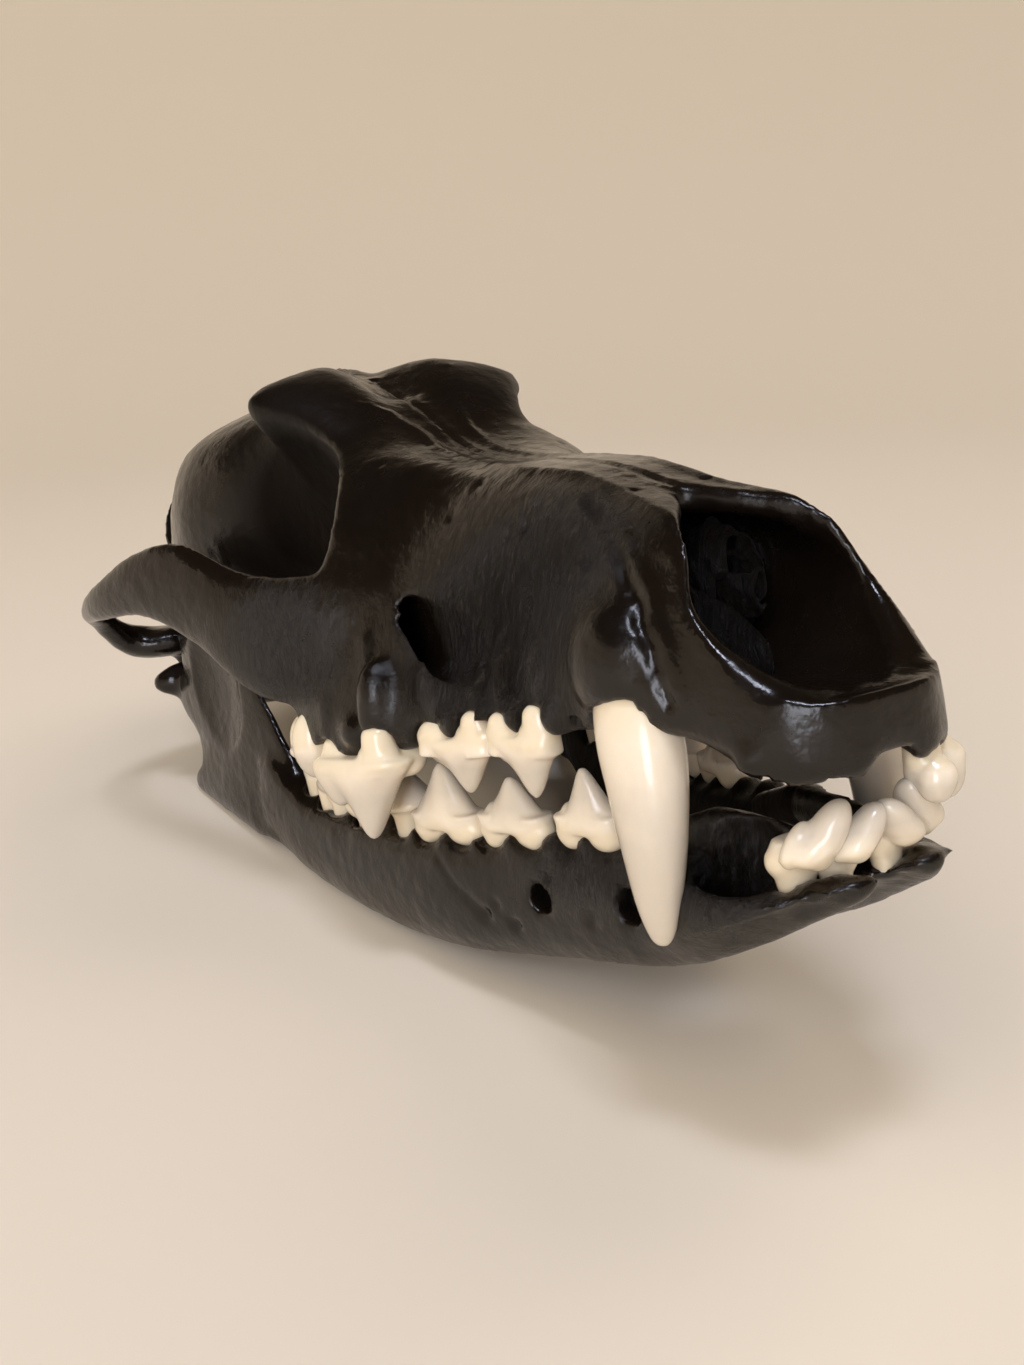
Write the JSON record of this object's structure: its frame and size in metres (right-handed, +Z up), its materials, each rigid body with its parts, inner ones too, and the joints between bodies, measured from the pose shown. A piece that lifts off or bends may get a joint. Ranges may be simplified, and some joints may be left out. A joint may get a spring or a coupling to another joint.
{
  "type": "coyote skull",
  "caption": "Life-size coyote skull with its lower jaw closed, dark painted bone and ivory teeth, some sockets empty.",
  "frame": {"origin": "on the floor under the middle of the skull's plan", "axes": "+Y from the nose to the back of the head, +X to the animal's left, +Z up"},
  "size_m": [0.1068, 0.2086, 0.0793],
  "materials": {
    "painted_bone": "gloss dark brown-black paint over bone, with ivory enamel teeth"
  },
  "bodies": {
    "root": {"cranium": "painted_bone", "mandible_left": "painted_bone", "mandible_right": "painted_bone"}
  },
  "joints": []
}
